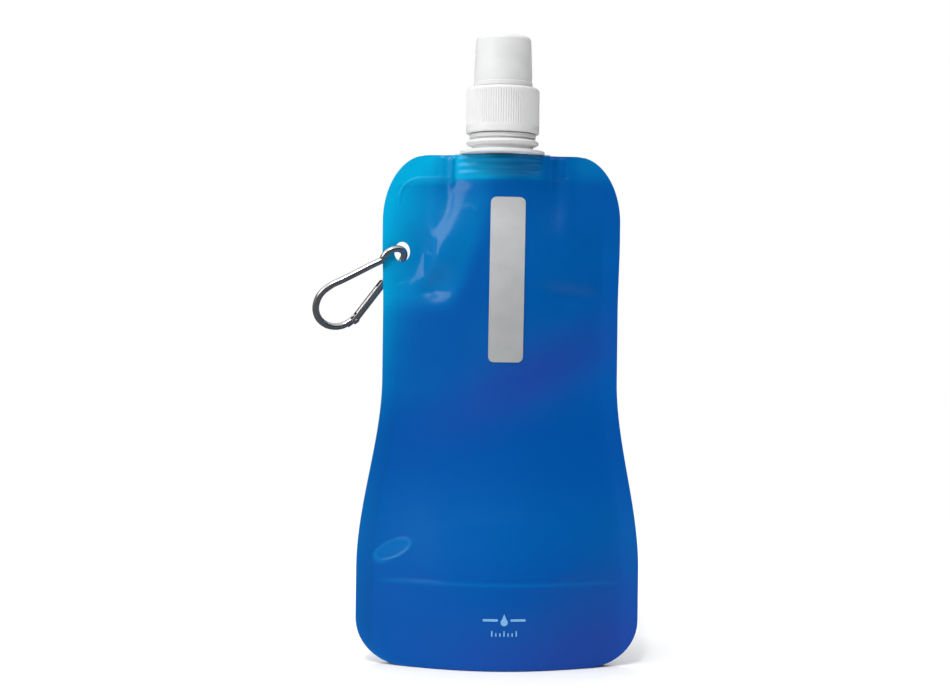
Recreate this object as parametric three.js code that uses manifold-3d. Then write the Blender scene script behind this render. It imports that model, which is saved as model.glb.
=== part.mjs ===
// A folding water bottle: a flat pouch of welded film that stands on an opened bottom gusset, with a
// welded screw spout, a push-pull cap under a frosted overcap, and a small carabiner in its eyelet.
// Millimetres, +Z up, the front faces -Y. Inside the group called bottle, x = 0 is the pouch's centre line.
import * as THREE from "three";
import { mergeVertices } from "three/addons/utils/BufferGeometryUtils.js";
import Module from "manifold-3d";

const wasm = await Module();
wasm.setup();

// ---- Driving dimensions ----

const GAP = 0.3; // air between two pieces that touch
const AXIS_X = 9.85; // centre line's place, so that the box that holds pouch and carabiner is centred

const FILM = 0.3; // thickness of one film
const SEAM = GAP / 2 + FILM; // from the middle plane to a film's outer face where the films are welded
const SIDE_SEAL = 7;

const POUCH = {
  height: 216.5,
  fold: 102, // height of the fold
  foldGap: 0.3,
  baseHalfWidth: 60.1,
  waistInset: 10.1,
  shoulderFlare: 0.6,
  cornerRadius: 19.5, // bottom corners
  topHalfWidth: 32, // where the top edge starts to round off
  topCornerHeight: 28.2,
  baseDepth: 18, // half the opening between the films, at the base, the waist and the shoulder
  waistDepth: 6,
  shoulderDepth: 9.5,
  swellPower: 1.3, // above 1, the films leave the side seals without a crease
  topSeal: 206.5, // lower edge of the top seal
  topFade: 36, // how far below the top seal the films begin to close on the weld base
};

const EYELET = { x: -42.2, z: 175.2, halfWidth: 3.35, halfHeight: 4.25 };
const GUSSET = { halfWidth: 49, height: 35.3, legGap: 0.35 };
const STRIP = { x: 2.6, z: 163.6, width: 14.7, height: 69.9, corner: 2.4, thickness: 0.25 };

const BASE = { halfLength: 20.4, halfWidth: 6.5, bottom: 206, top: 217.2 };
const BASE_WING = { reach: 26.4, half: 0.6, bottom: 206.5, top: 215.3 };
const BASE_RIBS = { heights: [208.7, 211.7, 214.7], halfThickness: 0.6, stand: 0.5 };
const BASE_SLOT = { halfLength: 11.5, halfWidth: 4.6 };

// How the films bulge over the weld base, half over its middle and wing over its two wings.
const BASE_COVER = { halfLength: 24, half: 6.6, power: 1.3, wing: 0.75, fadeFrom: 27.5, fadeTo: 33 };

const NECK = {
  flangeRadius: 18,
  flangeBottom: 216.9,
  flangeTop: 218.3,
  radius: 13,
  bead: { radius: 15.4, shoulder: 14.6, bottom: 220.5, top: 223, edge: 0.9 },
  ring: { radius: 14.15, bottom: 223.6, top: 225.4, edge: 0.2 },
  barrelRadius: 12.3,
  boreRadius: 10.3,
  rim: 242.3,
  rimEdge: 0.5,
};
const CAP_SEAL_RADIUS = { inner: 10.7, outer: 13.2 };

const THREAD = { pitch: 3.2, turns: 2, depth: 1.2, foot: 1.3, crest: 0.6, root: 0.3, stepsPerTurn: 20 };
const NECK_THREAD_START = 228.6;
const CAP_THREAD_START = NECK_THREAD_START + THREAD.pitch / 2;

const CAP = {
  radius: 15.55,
  ribDepth: 0.35,
  ribs: 90,
  bottom: 225.7,
  ribBottom: 229,
  ribTop: 243.4,
  top: 245.4,
  topRadius: 13.2,
  boreRadius: 14,
  deckBottom: 243.7,
  upstandRadius: 11.1,
  upstandTop: 248,
  upstandWall: 1,
  chimneyRadius: 7.2,
  chimneyBore: 5.6,
  chimneyTop: 256,
  postRadius: 1.9,
  plugRadius: 2.75,
  plugBottom: 258.6,
  plugTop: 261.8,
  armWidth: 1.2,
  armTop: 246.6,
};

const NOZZLE = {
  bottom: 246,
  skirtRadius: 9.3,
  step: 250.6,
  headRadius: 10.1,
  top: 262.4,
  edge: 1.6,
  innerRadius: CAP.chimneyRadius + GAP,
  innerTop: 257.4,
  holeRadius: 3.05,
  holeBottom: 260.4,
};

const OVERCAP = { bottom: 245.7, top: 267.1, lowRadius: 12.5, highRadius: 11.75, wall: 1, edge: 2 };

// The carabiner lies in its own plane: u runs from the eyelet to the big end, v from the gate to the spine.
const CARABINER = {
  dip: 40.5, // degrees that u points below level, towards the left
  turn: 38, // degrees that the plane is turned about u, which brings the spine in front of the film
  reach: 0.45, // the plane's own origin, along u from the eyelet's centre
  wire: 1.45,
  arcSegments: 5, // the wire has twice as many sides
  steps: 80,
  bigEnd: { u: 34.5, v: -0.2, radius: 10.6 },
};
const GATE = {
  pivot: { u: 33.7, v: -11.05 },
  slope: 14.9, // degrees between the shut gate and u
  length: 20.4,
  radius: 1.75,
  bore: 1.15,
  boreEnd: 12, // distance from the pivot
  hingeSlot: { width: 1.8, length: 2.9 },
  noseSlot: { width: 1.6, length: 3.1 },
};
const TONGUE = { thickness: 1.2, radius: 2.1 };
const BRIDGE = [[0, -1.2], [4.4, -0.9], [4.4, 1.2], [0, 1.4]]; // web from tongue to wire, from the pivot
const NOSE = { thickness: 1, height: 1.8, length: 2.4 };
const RIVET = { radius: 0.6, hole: 0.9, headRadius: 1.1, headHeight: 0.35 };
const PLUNGER = { radius: 0.85, start: 2.5, end: 5 };
const SPRING = { radius: 0.62, wire: 0.16, turns: 7, start: 5.35, end: 11.6, stepsPerTurn: 10 };

// ---- Materials ----

const finish = (color, roughness, metalness = 0, opacity = 1) =>
  new THREE.MeshStandardMaterial({ color, roughness, metalness, opacity, transparent: opacity < 1 });

const MATERIALS = {
  film: finish(0x0a6fc2, 0.18, 0, 0.85),
  strip: finish(0xb4b8bc, 0.45, 0.3),
  white: finish(0xf1f1ef, 0.35),
  frosted: finish(0xe4e7e8, 0.5, 0, 0.55),
  seal: finish(0xd9dcda, 0.7),
  aluminium: finish(0xc9cbce, 0.22, 1),
  steel: finish(0x9da0a4, 0.3, 1),
};

// ---- Geometry helpers ----

const { clamp, degToRad, lerp, smoothstep } = THREE.MathUtils;

// The whole numbers from first to last.
const steps = (first, last) => Array.from({ length: last - first + 1 }, (_, k) => first + k);

function solidOf(geometry) {
  const bare = geometry.clone();
  bare.deleteAttribute("normal");
  bare.deleteAttribute("uv");
  const merged = mergeVertices(bare, 1e-4);
  return new wasm.Manifold(
    new wasm.Mesh({
      numProp: 3,
      vertProperties: merged.attributes.position.array,
      triVerts: new Uint32Array(merged.index.array),
    }),
  );
}

function geometryOf(solid) {
  const mesh = solid.getMesh();
  const geometry = new THREE.BufferGeometry();
  geometry.setAttribute("position", new THREE.BufferAttribute(new Float32Array(mesh.vertProperties), 3));
  geometry.setIndex(new THREE.BufferAttribute(new Uint32Array(mesh.triVerts), 1));
  return geometry;
}

const join = (...geometries) =>
  geometryOf(geometries.map(solidOf).reduce((whole, piece) => whole.add(piece)));

const cut = (geometry, ...tools) =>
  geometryOf(tools.map(solidOf).reduce((whole, tool) => whole.subtract(tool), solidOf(geometry)));

// An indexed geometry whose faces point outwards, whichever way round its triangles came.
function closedGeometry(points, triangles) {
  const a = new THREE.Vector3();
  let volume = 0;
  for (let i = 0; i < triangles.length; i += 3) {
    const [p, q, r] = [0, 1, 2].map((k) => points[triangles[i + k]]);
    volume += a.copy(p).dot(q.clone().cross(r));
  }
  const faces = volume < 0 ? triangles.slice().reverse() : triangles;
  const geometry = new THREE.BufferGeometry();
  geometry.setAttribute("position", new THREE.Float32BufferAttribute(points.flatMap((p) => p.toArray()), 3));
  geometry.setIndex(faces);
  return geometry;
}

// A solid through closed rings of points, with its two ends capped.
function loft(rings) {
  const n = rings[0].length;
  const points = rings.flat();
  const triangles = [];
  for (let i = 0; i + 1 < rings.length; i++)
    for (let j = 0; j < n; j++) {
      const [a, b] = [i * n + j, i * n + ((j + 1) % n)];
      triangles.push(a, b, b + n, a, b + n, a + n);
    }
  const last = (rings.length - 1) * n;
  for (let j = 1; j + 1 < n; j++) {
    triangles.push(0, j + 1, j);
    triangles.push(last, last + j, last + j + 1);
  }
  return closedGeometry(points, triangles);
}

// A thin solid between two surfaces, each a function of row and column.
function sheet(rows, columns, outer, inner) {
  const points = [];
  const triangles = [];
  const across = columns + 1;
  const side = (rows + 1) * across;
  for (const face of [outer, inner])
    for (let i = 0; i <= rows; i++)
      for (let j = 0; j <= columns; j++)
        points.push(face(i, j));
  const quad = (a, b, c, d) => triangles.push(a, b, c, a, c, d);
  for (let i = 0; i < rows; i++)
    for (let j = 0; j < columns; j++) {
      const a = i * across + j;
      quad(a, a + 1, a + 1 + across, a + across);
      quad(side + a + across, side + a + 1 + across, side + a + 1, side + a);
    }
  const rim = [];
  for (let j = 0; j < columns; j++) rim.push(j);
  for (let i = 0; i < rows; i++) rim.push(i * across + columns);
  for (let j = columns; j > 0; j--) rim.push(rows * across + j);
  for (let i = rows; i > 0; i--) rim.push(i * across);
  rim.forEach((a, k) => {
    const b = rim[(k + 1) % rim.length];
    quad(b, a, side + a, side + b);
  });
  return closedGeometry(points, triangles);
}

// A turned solid about Z through [radius, z] pairs, which start and end on the axis or close on themselves.
function turned(profile, segments = 48) {
  const lathe = new THREE.LatheGeometry(
    profile.map(([r, z]) => new THREE.Vector2(r, z)),
    segments,
  );
  lathe.rotateX(Math.PI / 2);
  return lathe;
}

const disc = (radius, bottom, top, segments = 48) =>
  turned([[0, bottom], [radius, bottom], [radius, top], [0, top]], segments);

const box = (width, depth, height, x, y, z) => new THREE.BoxGeometry(width, depth, height).translate(x, y, z);

// A plate cut from an XY shape, from z = bottom up to z = top.
function plate(shape, bottom, top, curveSegments = 6) {
  const options = { depth: top - bottom, bevelEnabled: false, curveSegments };
  return new THREE.ExtrudeGeometry(shape, options).translate(0, 0, bottom);
}

// A helical ridge about Z on a wall of the given radius; it stands outwards when out is 1, inwards when -1.
function threadRidge(wallRadius, out, start) {
  const last = THREAD.turns * THREAD.stepsPerTurn;
  const runOut = THREAD.stepsPerTurn / 4;
  const foot = wallRadius - out * THREAD.root;
  const rings = steps(0, last).map((i) => {
    const turn = i / THREAD.stepsPerTurn;
    const full = clamp(Math.min(i, last - i) / runOut, 0.15, 1);
    const crest = wallRadius + out * THREAD.depth * full;
    const z = start + turn * THREAD.pitch;
    const angle = turn * 2 * Math.PI;
    const section = [
      [foot, z - THREAD.foot / 2],
      [crest, z - THREAD.crest / 2],
      [crest, z + THREAD.crest / 2],
      [foot, z + THREAD.foot / 2],
    ];
    return section.map(([r, h]) => new THREE.Vector3(r * Math.cos(angle), r * Math.sin(angle), h));
  });
  return loft(rings);
}

function piece(name, geometry, material) {
  const mesh = new THREE.Mesh(geometry, material);
  mesh.name = name;
  return mesh;
}

// ---- Pouch ----

// The side edge before the corners are rounded: wide at the base, drawn in to the waist.
const sideHalfWidth = (z) =>
  POUCH.baseHalfWidth -
  POUCH.waistInset * smoothstep(z, 41, 121) +
  POUCH.shoulderFlare * smoothstep(z, 150, 182);

// The pouch's outline: round bottom corners, and long elliptical ones at the top.
function halfWidth(z) {
  const side = sideHalfWidth(z);
  const down = clamp((POUCH.cornerRadius - z) / POUCH.cornerRadius, 0, 1);
  const up = clamp((z - POUCH.height + POUCH.topCornerHeight) / POUCH.topCornerHeight, 0, 1);
  if (down > 0) return side - POUCH.cornerRadius * (1 - Math.sqrt(1 - down * down));
  return POUCH.topHalfWidth + (side - POUCH.topHalfWidth) * Math.sqrt(1 - up * up);
}

// The films' swell around the weld base and its wings.
function baseCover(x) {
  const alongBase = clamp(Math.abs(x) / BASE_COVER.halfLength, 0, 1);
  const boat = BASE_COVER.half * (1 - alongBase ** 2) ** BASE_COVER.power;
  return boat + BASE_COVER.wing * (1 - smoothstep(Math.abs(x), BASE_COVER.fadeFrom, BASE_COVER.fadeTo));
}

// How far a film's outer face stands from the middle plane.
function halfDepth(x, z) {
  const open =
    POUCH.baseDepth -
    (POUCH.baseDepth - POUCH.waistDepth) * smoothstep(z, 20, 105) +
    (POUCH.shoulderDepth - POUCH.waistDepth) * smoothstep(z, 112, 165);
  const across = clamp(Math.abs(x) / (sideHalfWidth(z) - SIDE_SEAL), 0, 1);
  const body = open * (1 - across ** 2) ** POUCH.swellPower;
  const swell = lerp(body, baseCover(x), smoothstep(z, POUCH.topSeal - POUCH.topFade, POUCH.topSeal));
  const fromEyelet = Math.hypot(x - EYELET.x, z - EYELET.z);
  return SEAM + swell * smoothstep(fromEyelet, 6.5, 15);
}

// The heights of a film's rows, closest where the outline curves most.
function rowHeights(from, to) {
  const straightFrom = POUCH.cornerRadius;
  const straightTo = POUCH.height - POUCH.topCornerHeight;
  const cornerSteps = 6;
  const straightSteps = 15;
  const quarter = (a) => (a * Math.PI) / (2 * cornerSteps);
  const low = steps(0, cornerSteps - 1).map((a) => straightFrom * (1 - Math.cos(quarter(a))));
  const middle = steps(0, straightSteps).map((i) => lerp(straightFrom, straightTo, i / straightSteps));
  const high = steps(1, cornerSteps).map((a) => straightTo + POUCH.topCornerHeight * Math.sin(quarter(a)));
  const inside = [...low, ...middle, ...high].filter((z) => z > from + 1 && z < to - 1);
  return [from, ...inside, to];
}

const FILM_COLUMNS = 20;

// A column's place between the two side edges, from -1 to 1, closer together near the edges.
function columnPlace(j) {
  const t = (2 * j) / FILM_COLUMNS - 1;
  return lerp(t, Math.sin((t * Math.PI) / 2), 0.6);
}

// One film from one height to another: front is -1 for the front film, 1 for the back film.
function film(front, from, to) {
  const heights = rowHeights(from, to);
  const face = (inset) => (i, j) => {
    const z = heights[i];
    const x = columnPlace(j) * halfWidth(z);
    return new THREE.Vector3(x, front * (halfDepth(x, z) - inset), z);
  };
  return sheet(heights.length - 1, FILM_COLUMNS, face(0), face(FILM));
}

function eyeletCutter() {
  const oval = new THREE.Shape().absellipse(0, 0, EYELET.halfWidth, EYELET.halfHeight, 0, 2 * Math.PI);
  return plate(oval, -20, 20, 10).rotateX(Math.PI / 2).translate(EYELET.x, 0, EYELET.z);
}

// The bottom film: an arch across the pouch, from the front hem up to its crease and down to the back hem.
function gusset() {
  const columns = 16;
  const rows = 12;
  const arch = (i, j, inset) => {
    const x = lerp(-GUSSET.halfWidth, GUSSET.halfWidth, j / columns);
    const beyond = Math.max(0, Math.abs(x) - (POUCH.baseHalfWidth - POUCH.cornerRadius));
    const hem = POUCH.cornerRadius - Math.sqrt(POUCH.cornerRadius ** 2 - beyond ** 2);
    const reach = halfDepth(x, hem) - FILM - GUSSET.legGap;
    const t = (2 * i) / rows - 1;
    const rise = Math.sqrt(1 - Math.abs(t) ** 1.6);
    const y = Math.sign(t) * Math.max(0, reach * Math.abs(t) ** 0.8 - inset * Math.abs(t));
    const z = hem + (GUSSET.height - hem - inset) * rise;
    return new THREE.Vector3(x, y, z);
  };
  return sheet(rows, columns, (i, j) => arch(i, j, 0), (i, j) => arch(i, j, FILM));
}

function writeOnStrip() {
  const columns = 6;
  const low = STRIP.z - STRIP.height / 2;
  const high = STRIP.z + STRIP.height / 2;
  const cornerSteps = 3;
  const straightSteps = 10;
  const quarter = (a) => (a * Math.PI) / (2 * cornerSteps);
  const heights = [
    ...steps(0, cornerSteps - 1).map((a) => low + STRIP.corner * (1 - Math.cos(quarter(a)))),
    ...steps(0, straightSteps).map((i) => lerp(low + STRIP.corner, high - STRIP.corner, i / straightSteps)),
    ...steps(1, cornerSteps).map((a) => high - STRIP.corner * (1 - Math.sin(quarter(a)))),
  ];
  const face = (stand) => (i, j) => {
    const z = heights[i];
    const past = clamp((Math.abs(z - STRIP.z) - STRIP.height / 2 + STRIP.corner) / STRIP.corner, 0, 1);
    const half = STRIP.width / 2 - STRIP.corner * (1 - Math.sqrt(1 - past * past));
    const x = STRIP.x + lerp(-half, half, j / columns);
    return new THREE.Vector3(x, -halfDepth(x, z) - stand, z);
  };
  return sheet(heights.length - 1, columns, face(GAP + STRIP.thickness), face(GAP));
}

// ---- Spout ----

// The weld base seen from above: two arcs that meet in points, grown by stand.
function boatShape(stand) {
  const half = BASE.halfWidth + stand;
  const radius = (BASE.halfLength ** 2 + half ** 2) / (2 * half);
  const sweep = Math.asin(BASE.halfLength / radius);
  const shape = new THREE.Shape();
  shape.absarc(0, half - radius, radius, Math.PI / 2 - sweep, Math.PI / 2 + sweep, false);
  shape.absarc(0, radius - half, radius, 1.5 * Math.PI - sweep, 1.5 * Math.PI + sweep, false);
  return shape;
}

function slotShape({ halfLength, halfWidth: half }) {
  const straight = halfLength - half;
  const shape = new THREE.Shape();
  shape.absarc(straight, 0, half, -Math.PI / 2, Math.PI / 2, false);
  shape.absarc(-straight, 0, half, Math.PI / 2, 1.5 * Math.PI, false);
  return shape;
}

function neck() {
  const { bead, ring } = NECK;
  return turned([
    [0, NECK.flangeBottom],
    [NECK.flangeRadius, NECK.flangeBottom],
    [NECK.flangeRadius, NECK.flangeTop],
    [NECK.radius, NECK.flangeTop],
    [NECK.radius, bead.bottom],
    [bead.shoulder, bead.bottom + 0.2 * bead.edge],
    [bead.radius, bead.bottom + bead.edge],
    [bead.radius, bead.top - bead.edge],
    [bead.shoulder, bead.top - 0.2 * bead.edge],
    [NECK.radius, bead.top],
    [NECK.radius, ring.bottom],
    [ring.radius, ring.bottom + ring.edge],
    [ring.radius, ring.top - ring.edge],
    [NECK.barrelRadius, ring.top],
    [NECK.barrelRadius, NECK.rim - NECK.rimEdge],
    [NECK.barrelRadius - NECK.rimEdge, NECK.rim],
    [0, NECK.rim],
  ]);
}

function spout() {
  const wingHeight = BASE_WING.top - BASE_WING.bottom;
  const wingMiddle = BASE_WING.bottom + wingHeight / 2;
  const ribs = BASE_RIBS.heights.map((z) =>
    plate(boatShape(BASE_RIBS.stand), z - BASE_RIBS.halfThickness, z + BASE_RIBS.halfThickness),
  );
  const whole = join(
    plate(boatShape(0), BASE.bottom, BASE.top),
    box(2 * BASE_WING.reach, 2 * BASE_WING.half, wingHeight, 0, 0, wingMiddle),
    ...ribs,
    neck(),
    threadRidge(NECK.barrelRadius, 1, NECK_THREAD_START),
  );
  const bore = disc(NECK.boreRadius, BASE.top + 1, NECK.rim + 1);
  const slot = plate(slotShape(BASE_SLOT), BASE.bottom - 1, BASE.top + 1.5);
  return cut(whole, bore, slot);
}

// ---- Cap ----

function capSeal() {
  const { inner, outer } = CAP_SEAL_RADIUS;
  const [bottom, top] = [NECK.rim + GAP, CAP.deckBottom - GAP];
  return turned([[inner, bottom], [outer, bottom], [outer, top], [inner, top], [inner, bottom]]);
}

// The collar's outside: a plain band at the foot, fine upright ribs, and a shoulder.
function ribbedCollar() {
  const ring = (radius, ribDepth, z) =>
    Array.from({ length: 2 * CAP.ribs }, (_, k) => {
      const angle = (k * Math.PI) / CAP.ribs;
      const r = radius - (k % 2) * ribDepth;
      return new THREE.Vector3(r * Math.cos(angle), r * Math.sin(angle), z);
    });
  return loft([
    ring(CAP.radius - 0.4, 0, CAP.bottom),
    ring(CAP.radius, 0, CAP.bottom + 0.4),
    ring(CAP.radius, 0, CAP.ribBottom),
    ring(CAP.radius, CAP.ribDepth, CAP.ribBottom + 0.3),
    ring(CAP.radius, CAP.ribDepth, CAP.ribTop),
    ring(CAP.topRadius, 0, CAP.top),
  ]);
}

function screwCap() {
  const shell = cut(ribbedCollar(), disc(CAP.boreRadius, CAP.bottom - 1, CAP.deckBottom));
  const chimney = disc(CAP.chimneyRadius, CAP.deckBottom + 0.4, CAP.chimneyTop, 36);
  const upstand = cut(
    disc(CAP.upstandRadius, CAP.top - 0.4, CAP.upstandTop),
    disc(CAP.upstandRadius - CAP.upstandWall, CAP.top - 1, CAP.upstandTop + 1),
  );
  const waterway = disc(CAP.chimneyBore, CAP.deckBottom - 1, CAP.chimneyTop + 1, 36);
  const post = turned(
    [
      [0, CAP.deckBottom],
      [CAP.postRadius, CAP.deckBottom],
      [CAP.postRadius, CAP.plugBottom],
      [CAP.plugRadius, CAP.plugBottom + 0.6],
      [CAP.plugRadius, CAP.plugTop - 0.5],
      [CAP.plugRadius - 0.5, CAP.plugTop],
      [0, CAP.plugTop],
    ],
    24,
  );
  const armLength = CAP.chimneyBore + 0.6;
  const armHeight = CAP.armTop - CAP.deckBottom;
  const arms = [0, 1, 2].map((k) =>
    box(armLength, CAP.armWidth, armHeight, armLength / 2, 0, CAP.deckBottom + armHeight / 2).rotateZ(
      (k * 2 * Math.PI) / 3,
    ),
  );
  const body = cut(join(shell, chimney, upstand), waterway);
  return join(body, post, ...arms, threadRidge(CAP.boreRadius, -1, CAP_THREAD_START));
}

const nozzle = () =>
  turned([
    [NOZZLE.innerRadius, NOZZLE.bottom],
    [NOZZLE.skirtRadius, NOZZLE.bottom],
    [NOZZLE.skirtRadius, NOZZLE.step],
    [NOZZLE.headRadius, NOZZLE.step + 0.6],
    [NOZZLE.headRadius - 0.2, NOZZLE.top - NOZZLE.edge],
    [NOZZLE.headRadius - 0.2 - 0.3 * NOZZLE.edge, NOZZLE.top - 0.3 * NOZZLE.edge],
    [NOZZLE.headRadius - 0.2 - NOZZLE.edge, NOZZLE.top],
    [NOZZLE.holeRadius, NOZZLE.top],
    [NOZZLE.holeRadius, NOZZLE.holeBottom],
    [NOZZLE.innerRadius, NOZZLE.innerTop],
    [NOZZLE.innerRadius, NOZZLE.bottom],
  ]);

// A thin bell with a rounded top edge.
function overcap() {
  const { bottom, top, lowRadius, highRadius, wall, edge } = OVERCAP;
  const corner = (radius, height, round) =>
    [0, 1, 2, 3].map((k) => {
      const a = (k * Math.PI) / 6;
      return [radius - round * (1 - Math.cos(a)), height - round * (1 - Math.sin(a))];
    });
  return turned([
    [lowRadius - wall, bottom],
    [lowRadius, bottom],
    ...corner(highRadius, top, edge),
    [0, top],
    [0, top - wall],
    ...corner(highRadius - wall, top - wall, edge - wall).reverse(),
    [lowRadius - wall, bottom],
  ]);
}

// ---- Carabiner ----

const inPlane = (u, v) => new THREE.Vector3(u, v, 0);

// The wire's middle line: nose, hook through the eyelet, kink, spine and big end, to the gate's hinge.
function carabinerPath() {
  const { u, v, radius } = CARABINER.bigEnd;
  const hook = [
    [13, -5.6],
    [8.5, -4.6],
    [4.4, -3.8],
    [1.6, -3.3],
    [-0.3, -1.9],
    [-0.95, 0.1],
    [0.1, 2.6],
    [2.3, 4.1],
    [4.7, 4.5],
    [6.9, 4.0],
    [8.4, 3.3],
    [9.8, 3.7],
    [13, 4.7],
    [20, 6.6],
    [27, 8.6],
  ];
  const points = hook.map(([a, b]) => inPlane(a, b));
  for (let k = 0; k <= 6; k++) {
    const angle = degToRad(105 - 32.5 * k);
    points.push(inPlane(u + radius * Math.cos(angle), v + radius * Math.sin(angle)));
  }
  return new THREE.CatmullRomCurve3(points, false, "centripetal");
}

// A flat plate in the carabiner's plane, centred on it.
const flatInPlane = (shape, thickness) => plate(shape, -thickness / 2, thickness / 2);

// Where the gate lies: its own x runs from the pivot to the tip.
function alongGate(geometry) {
  return geometry.rotateZ(Math.PI - degToRad(GATE.slope)).translate(GATE.pivot.u, GATE.pivot.v, 0);
}

const alongX = (radius, from, to, segments = 20) => disc(radius, from, to, segments).rotateY(Math.PI / 2);

const atPivot = (geometry) => geometry.translate(GATE.pivot.u, GATE.pivot.v, 0);

function carabinerBody() {
  const circle = new THREE.Shape().absarc(0, 0, CARABINER.wire, 0, 2 * Math.PI, false);
  const wire = new THREE.ExtrudeGeometry(circle, {
    steps: CARABINER.steps,
    extrudePath: carabinerPath(),
    bevelEnabled: false,
    curveSegments: CARABINER.arcSegments,
  });
  const roomForGate = alongGate(alongX(GATE.radius + GAP, -GATE.hingeSlot.length + GAP, GATE.length + GAP));
  const tongue = new THREE.Shape().absarc(0, 0, TONGUE.radius, 0, 2 * Math.PI, false);
  const bridge = new THREE.Shape(BRIDGE.map(([x, y]) => new THREE.Vector2(x, y)));
  const noseMiddle = GATE.length + 1 - NOSE.length / 2;
  const solid = join(
    cut(wire, roomForGate),
    atPivot(flatInPlane(tongue, TONGUE.thickness)),
    atPivot(flatInPlane(bridge, TONGUE.thickness)),
    alongGate(box(NOSE.length + 2, NOSE.height, NOSE.thickness, noseMiddle, 0, 0)),
  );
  return cut(solid, atPivot(disc(RIVET.hole, -TONGUE.thickness, TONGUE.thickness, 16)));
}

function carabinerGate() {
  const { radius, length, hingeSlot, noseSlot } = GATE;
  const rod = alongX(radius, -radius, length);
  const bore = alongX(GATE.bore, 0, GATE.boreEnd, 16);
  const slotAt = (from, to, width) => box(to - from, 4 * radius, width, (from + to) / 2, 0, 0);
  return alongGate(
    cut(
      rod,
      bore,
      slotAt(-radius - 1, hingeSlot.length, hingeSlot.width),
      slotAt(length - noseSlot.length, length + 1, noseSlot.width),
      disc(RIVET.hole, -2 * radius, 2 * radius, 16),
    ),
  );
}

function gateRivet() {
  const half = GATE.radius + GAP;
  const { radius, headRadius, headHeight } = RIVET;
  const rivet = turned(
    [
      [0, -half - headHeight],
      [headRadius * 0.7, -half - headHeight],
      [headRadius, -half],
      [radius, -half],
      [radius, half],
      [headRadius, half],
      [headRadius * 0.7, half + headHeight],
      [0, half + headHeight],
    ],
    16,
  );
  return atPivot(rivet);
}

const gatePlunger = () =>
  alongGate(
    turned([
      [0, PLUNGER.start],
      [PLUNGER.radius * 0.6, PLUNGER.start],
      [PLUNGER.radius, PLUNGER.start + 0.5],
      [PLUNGER.radius, PLUNGER.end],
      [0, PLUNGER.end],
    ], 12).rotateY(Math.PI / 2),
  );

function gateSpring() {
  const { radius, wire, turns, start, end, stepsPerTurn } = SPRING;
  const sides = 5;
  const rings = steps(0, turns * stepsPerTurn).map((i) => {
    const angle = (i / stepsPerTurn) * 2 * Math.PI;
    const x = lerp(start, end, i / (turns * stepsPerTurn));
    return steps(0, sides - 1).map((k) => {
      const a = (k * 2 * Math.PI) / sides;
      const r = radius + wire * Math.cos(a);
      return new THREE.Vector3(x + wire * Math.sin(a), r * Math.cos(angle), r * Math.sin(angle));
    });
  });
  return alongGate(loft(rings));
}

function carabiner() {
  const [dip, turn] = [degToRad(CARABINER.dip), degToRad(CARABINER.turn)];
  const u = new THREE.Vector3(-Math.cos(dip), 0, -Math.sin(dip));
  const v = new THREE.Vector3(-Math.sin(dip) * Math.cos(turn), -Math.sin(turn), Math.cos(dip) * Math.cos(turn));
  const group = new THREE.Group();
  group.setRotationFromMatrix(new THREE.Matrix4().makeBasis(u, v, u.clone().cross(v)));
  group.position.set(EYELET.x, 0, EYELET.z).addScaledVector(u, CARABINER.reach);
  group.add(
    piece("carabiner_body", carabinerBody(), MATERIALS.aluminium),
    piece("carabiner_gate", carabinerGate(), MATERIALS.aluminium),
    piece("gate_rivet", gateRivet(), MATERIALS.steel),
    piece("gate_plunger", gatePlunger(), MATERIALS.steel),
    piece("gate_spring", gateSpring(), MATERIALS.steel),
  );
  return group;
}

// ---- Assembly ----

const belowFold = POUCH.fold - POUCH.foldGap / 2;
const aboveFold = POUCH.fold + POUCH.foldGap / 2;
const bottle = new THREE.Group();
bottle.position.x = AXIS_X;
bottle.add(
  piece("front_film_upper", cut(film(-1, aboveFold, POUCH.height), eyeletCutter()), MATERIALS.film),
  piece("back_film_upper", cut(film(1, aboveFold, POUCH.height), eyeletCutter()), MATERIALS.film),
  piece("front_film_lower", film(-1, 0, belowFold), MATERIALS.film),
  piece("back_film_lower", film(1, 0, belowFold), MATERIALS.film),
  piece("gusset_film", gusset(), MATERIALS.film),
  piece("write_on_strip", writeOnStrip(), MATERIALS.strip),
  piece("spout", spout(), MATERIALS.white),
  piece("cap_seal", capSeal(), MATERIALS.seal),
  piece("screw_cap", screwCap(), MATERIALS.white),
  piece("nozzle", nozzle(), MATERIALS.white),
  piece("overcap", overcap(), MATERIALS.frosted),
  carabiner(),
);

const group = new THREE.Group();
group.add(bottle);

export default group;
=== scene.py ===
"""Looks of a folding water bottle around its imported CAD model. Metres, +Z up, the front faces -Y."""
import math
import bmesh
import bpy
import numpy as np
from mathutils import Matrix, Vector


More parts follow.
